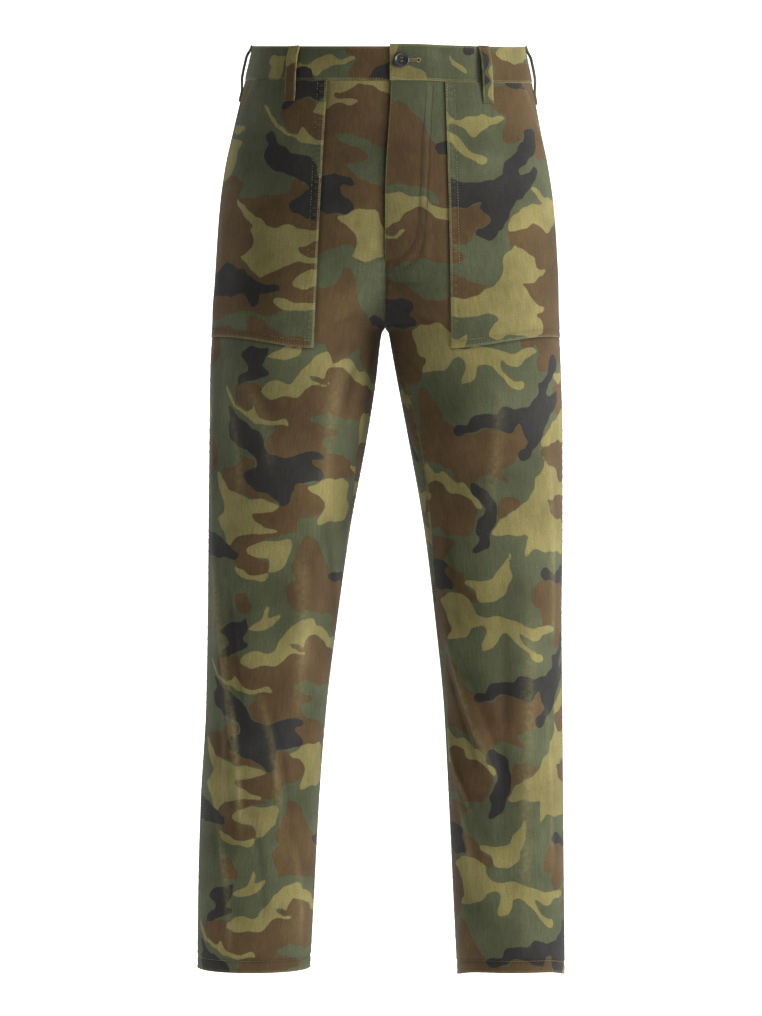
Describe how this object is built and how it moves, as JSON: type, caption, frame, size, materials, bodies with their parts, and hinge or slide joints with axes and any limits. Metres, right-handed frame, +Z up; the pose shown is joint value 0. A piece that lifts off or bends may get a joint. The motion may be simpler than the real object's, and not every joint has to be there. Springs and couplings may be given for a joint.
{
  "type": "camouflage fatigue trousers",
  "caption": "Straight-leg woodland camouflage trousers in worn shape: buttoned waistband with belt loops, lapped fly and large front patch pockets.",
  "frame": {"origin": "middle of the waist opening, half way up the waistband at the sides, where the wearer's waist holds the trousers", "axes": "+Z up, the front faces -Y, +X towards the wearer's left"},
  "size_m": [0.415, 0.2717, 1.0614],
  "materials": {
    "camouflage": "matt printed cotton twill",
    "button": "satin"
  },
  "bodies": {
    "root": {"front_left": "camouflage", "front_right": "camouflage", "back_left": "camouflage", "back_right": "camouflage", "pocket_left": "camouflage", "pocket_right": "camouflage", "waistband_left": "camouflage", "waistband_right": "camouflage", "fly_shield": "camouflage", "loop_front_left": "camouflage", "loop_front_right": "camouflage", "loop_side_left": "camouflage", "loop_side_right": "camouflage", "loop_back": "camouflage", "waist_button": "button"}
  },
  "joints": []
}
